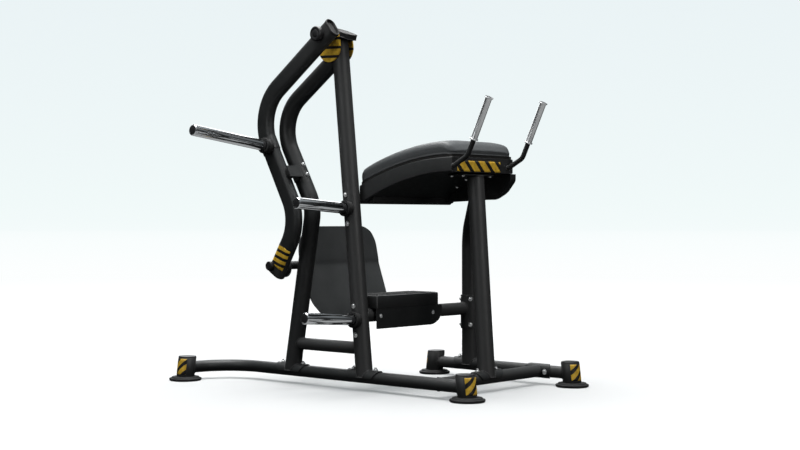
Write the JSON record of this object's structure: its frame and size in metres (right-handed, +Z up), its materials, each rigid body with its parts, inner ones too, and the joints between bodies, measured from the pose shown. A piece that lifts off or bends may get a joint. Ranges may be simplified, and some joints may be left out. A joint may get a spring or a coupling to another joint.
{
  "type": "rear kick machine",
  "caption": "Plate-loaded standing rear-kick gym machine with an A-frame, a swing arm with a bent foot plate, a crowned torso pad, upright handles and a step.",
  "frame": {"origin": "on the floor under the middle of the machine's box", "axes": "+Z up; +X the way the user faces, towards the handles; +Y to the user's left"},
  "size_m": [1.6588, 1.4038, 1.6398],
  "materials": {
    "powder_coat": "satin charcoal-black textured powder coat",
    "rubber": "moulded black rubber",
    "plastic": "black moulded end caps",
    "chrome": "polished chrome plate",
    "grip_metal": "satin ribbed aluminium",
    "zinc": "zinc-plated steel",
    "upholstery": "dark grey grained vinyl",
    "board": "black-stained plywood",
    "hazard_paint": "black plate with yellow diagonal stripes"
  },
  "bodies": {
    "root": {"a_frame_brace": "powder_coat", "apex_cap": "powder_coat", "bump_stop": "rubber", "cross_rail_bracket": "powder_coat", "far_column": "powder_coat", "foot_pad_far": "rubber", "foot_pad_front": "rubber", "foot_pad_left": "rubber", "foot_pad_right": "rubber", "foot_post_far": "powder_coat", "foot_post_front": "powder_coat", "foot_post_left": "powder_coat", "foot_post_right": "powder_coat", "front_post": "powder_coat", "handle_grip_left": "grip_metal", "handle_grip_right": "grip_metal", "handle_stem_left": "powder_coat", "handle_stem_right": "powder_coat", "near_column": "powder_coat", "near_column_flange": "powder_coat", "pad_board": "board", "pad_cushion": "upholstery", "pad_far_support": "powder_coat", "pad_frame": "powder_coat", "pad_hip_beam": "powder_coat", "pivot_cheek_left": "hazard_paint", "pivot_cheek_right": "hazard_paint", "pivot_housing": "zinc", "pivot_washer": "zinc", "rail_cross": "powder_coat", "rail_left": "powder_coat", "rail_right": "powder_coat", "rear_post": "powder_coat", "saddle_far_column": "powder_coat", "saddle_front_post": "powder_coat", "saddle_near_column": "powder_coat", "saddle_rear_post": "powder_coat", "step_face_plate": "powder_coat", "step_flange": "powder_coat", "step_tread": "powder_coat", "step_tube": "powder_coat", "stop_bracket": "powder_coat", "storage_collar_lower": "rubber", "storage_collar_upper": "rubber", "storage_horn_lower": "chrome", "storage_horn_upper": "chrome"},
    "arm": {"swing_arm": "powder_coat", "arm_top_cap": "plastic", "arm_foot_cap": "plastic", "pivot_hub": "powder_coat", "pivot_cap": "plastic", "pivot_shaft": "zinc", "arm_horn": "chrome", "arm_horn_collar": "rubber", "foot_shaft": "zinc", "foot_shaft_cap": "plastic"},
    "foot_plate_body": {"foot_plate": "powder_coat", "foot_sleeve": "powder_coat", "foot_rib_left": "powder_coat", "foot_rib_right": "powder_coat"}
  },
  "joints": [
    {"name": "arm_swing", "type": "hinge", "parent": "root", "child": "arm", "pos_m": [-0.003, -0.22252, 1.576], "axis": [0, 1, 0], "range_deg": [0, 60]},
    {"name": "foot_plate_tilt", "type": "hinge", "parent": "arm", "child": "foot_plate_body", "pos_m": [-0.3105, -0.22252, 0.544], "axis": [0, 1, 0], "range_deg": [-12, 0]}
  ]
}
